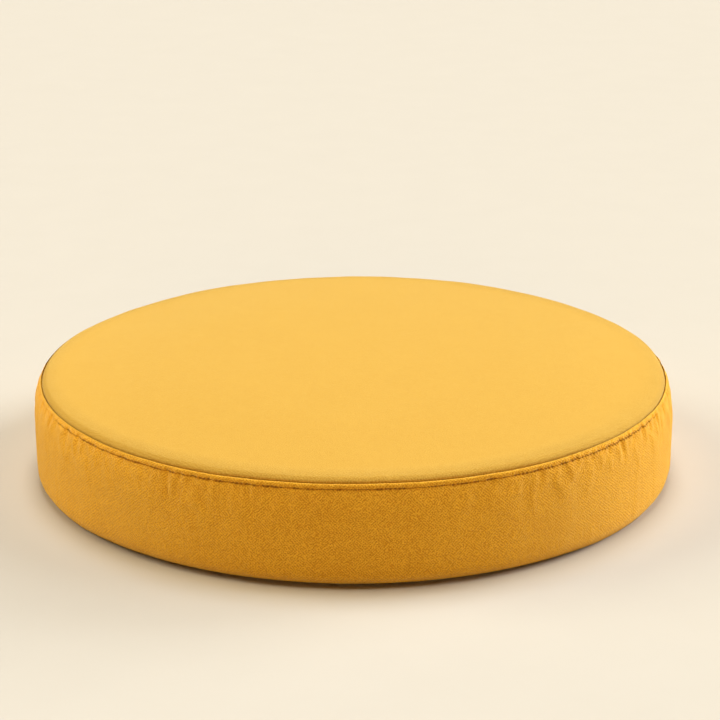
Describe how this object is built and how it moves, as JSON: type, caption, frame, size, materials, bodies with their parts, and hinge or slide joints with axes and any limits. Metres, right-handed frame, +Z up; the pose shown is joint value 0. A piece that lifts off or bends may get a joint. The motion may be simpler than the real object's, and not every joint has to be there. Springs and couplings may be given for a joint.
{
  "type": "round seat cushion",
  "caption": "Round boxed floor and seat cushion: flat low-crowned top panel, upright filled side band with a topstitched top seam, flat base panel.",
  "frame": {"origin": "middle of the flat underside, on the surface that the cushion rests on", "axes": "+Z up through the crown of the top, -Y towards the front, +X to the right"},
  "size_m": [0.6, 0.6, 0.1078],
  "materials": {
    "top_cloth": "matt mustard yellow cotton canvas, fine weave with a soft nap",
    "band_cloth": "matt mustard yellow cotton canvas, fine diagonal weave",
    "topstitch_thread": "darker ochre sewing thread sunk into the cloth"
  },
  "bodies": {
    "root": {"top_panel": "top_cloth", "filled_side_band": "band_cloth", "base_panel": "band_cloth"}
  },
  "joints": []
}
